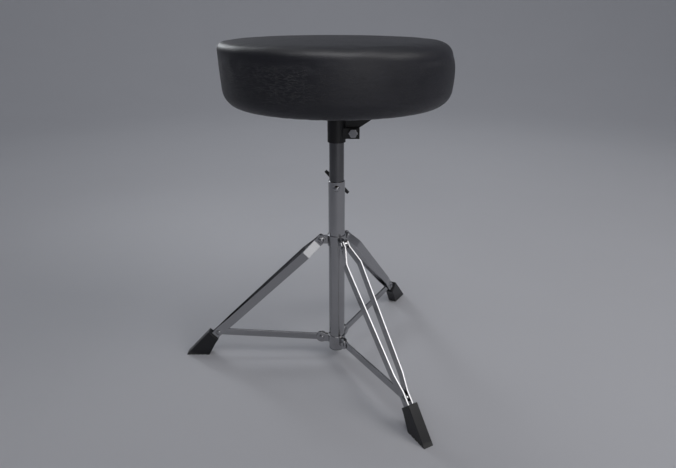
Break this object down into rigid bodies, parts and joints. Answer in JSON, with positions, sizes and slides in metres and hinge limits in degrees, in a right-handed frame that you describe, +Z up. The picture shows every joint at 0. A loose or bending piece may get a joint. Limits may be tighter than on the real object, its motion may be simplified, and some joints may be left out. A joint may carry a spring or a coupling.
{
  "type": "drum throne",
  "caption": "Round padded stool for a drummer: a seat on a height-adjustable post over a folding base of braced flat-bar legs with rubber feet.",
  "frame": {"origin": "on the column's axis at floor level, opened out for use", "axes": "+Z up along the column; -X towards the leg that stands alone on that side"},
  "size_m": [0.4193, 0.4472, 0.512],
  "materials": {
    "vinyl": "satin",
    "foam": "matte",
    "plywood": "matte",
    "cast_black": "satin",
    "chrome": "polished",
    "post_finish": "gloss",
    "zinc": "satin",
    "rubber": "matte",
    "black_plastic": "satin",
    "white_nylon": "satin"
  },
  "bodies": {
    "base": {"base_tube": "chrome", "tube_plug": "black_plastic", "upper_collar": "chrome", "collar_rivet": "chrome", "height_bolt": "chrome", "saddle_washer": "zinc"},
    "lock_handle": {"lock_handle": "cast_black"},
    "post": {"seat_post": "post_finish", "post_plug": "black_plastic"},
    "seat": {"seat_bracket": "cast_black", "clamp_bolt": "chrome", "clamp_nut": "chrome", "bracket_screws": "zinc", "tee_nuts": "zinc", "seat_board": "plywood", "seat_foam": "foam", "seat_cover": "vinyl", "cover_staples": "zinc"},
    "lower_collar": {"lower_collar": "chrome"},
    "leg_1": {"leg_1_strip_left": "chrome", "leg_1_strip_right": "chrome", "leg_1_pivot_bolt": "chrome", "leg_1_pivot_nut": "chrome", "leg_1_washers": "white_nylon", "leg_1_knee_rivets": "chrome", "leg_1_foot": "rubber"},
    "brace_1": {"brace_1_bar": "chrome", "brace_1_rivet": "chrome"},
    "leg_2": {"leg_2_strip_left": "chrome", "leg_2_strip_right": "chrome", "leg_2_pivot_bolt": "chrome", "leg_2_pivot_nut": "chrome", "leg_2_washers": "white_nylon", "leg_2_knee_rivets": "chrome", "leg_2_foot": "rubber"},
    "brace_2": {"brace_2_bar": "chrome", "brace_2_rivet": "chrome"},
    "leg_3": {"leg_3_strip_left": "chrome", "leg_3_strip_right": "chrome", "leg_3_pivot_bolt": "chrome", "leg_3_pivot_nut": "chrome", "leg_3_washers": "white_nylon", "leg_3_knee_rivets": "chrome", "leg_3_foot": "rubber"},
    "brace_3": {"brace_3_bar": "chrome", "brace_3_rivet": "chrome"}
  },
  "joints": [
    {"name": "height_slide", "type": "slide", "parent": "base", "child": "post", "axis": [0, 0, 1], "range_m": [0, 0.1]},
    {"name": "seat_turn", "type": "hinge", "parent": "post", "child": "seat", "pos_m": [0, 0, 0.42], "axis": [0, 0, 1], "continuous": true},
    {"name": "lock_turn", "type": "hinge", "parent": "base", "child": "lock_handle", "pos_m": [0, 0.0213, 0.2985], "axis": [0, 1, 0], "continuous": true},
    {"name": "leg_1_fold", "type": "hinge", "parent": "base", "child": "leg_1", "pos_m": [-0.02478, 0, 0.21175], "axis": [0, -1, 0], "range_deg": [0, 45.73]},
    {"name": "leg_2_fold", "type": "hinge", "parent": "base", "child": "leg_2", "pos_m": [0.01239, -0.02146, 0.21175], "axis": [0.866, 0.5, 0], "range_deg": [0, 45.73]},
    {"name": "leg_3_fold", "type": "hinge", "parent": "base", "child": "leg_3", "pos_m": [0.01239, 0.02146, 0.21175], "axis": [-0.866, 0.5, 0], "range_deg": [0, 45.73]},
    {"name": "collar_slide", "type": "slide", "parent": "base", "child": "lower_collar", "axis": [0, 0, 1], "range_m": [0, 0.10856]},
    {"name": "brace_1_fold", "type": "hinge", "parent": "lower_collar", "child": "brace_1", "pos_m": [-0.02548, 0, 0.0342], "axis": [0, -1, 0], "range_deg": [0, 92.78]},
    {"name": "brace_2_fold", "type": "hinge", "parent": "lower_collar", "child": "brace_2", "pos_m": [0.01274, -0.02207, 0.0342], "axis": [0.866, 0.5, 0], "range_deg": [0, 92.78]},
    {"name": "brace_3_fold", "type": "hinge", "parent": "lower_collar", "child": "brace_3", "pos_m": [0.01274, 0.02207, 0.0342], "axis": [-0.866, 0.5, 0], "range_deg": [0, 92.78]}
  ],
  "couplings": [
    {"joint": "leg_2_fold", "follows": "leg_1_fold", "ratio": 1},
    {"joint": "leg_3_fold", "follows": "leg_1_fold", "ratio": 1},
    {"joint": "collar_slide", "follows": "leg_1_fold", "m_per_rad": 0.136},
    {"joint": "brace_1_fold", "follows": "leg_1_fold", "ratio": 2.0287},
    {"joint": "brace_2_fold", "follows": "leg_1_fold", "ratio": 2.0287},
    {"joint": "brace_3_fold", "follows": "leg_1_fold", "ratio": 2.0287}
  ]
}
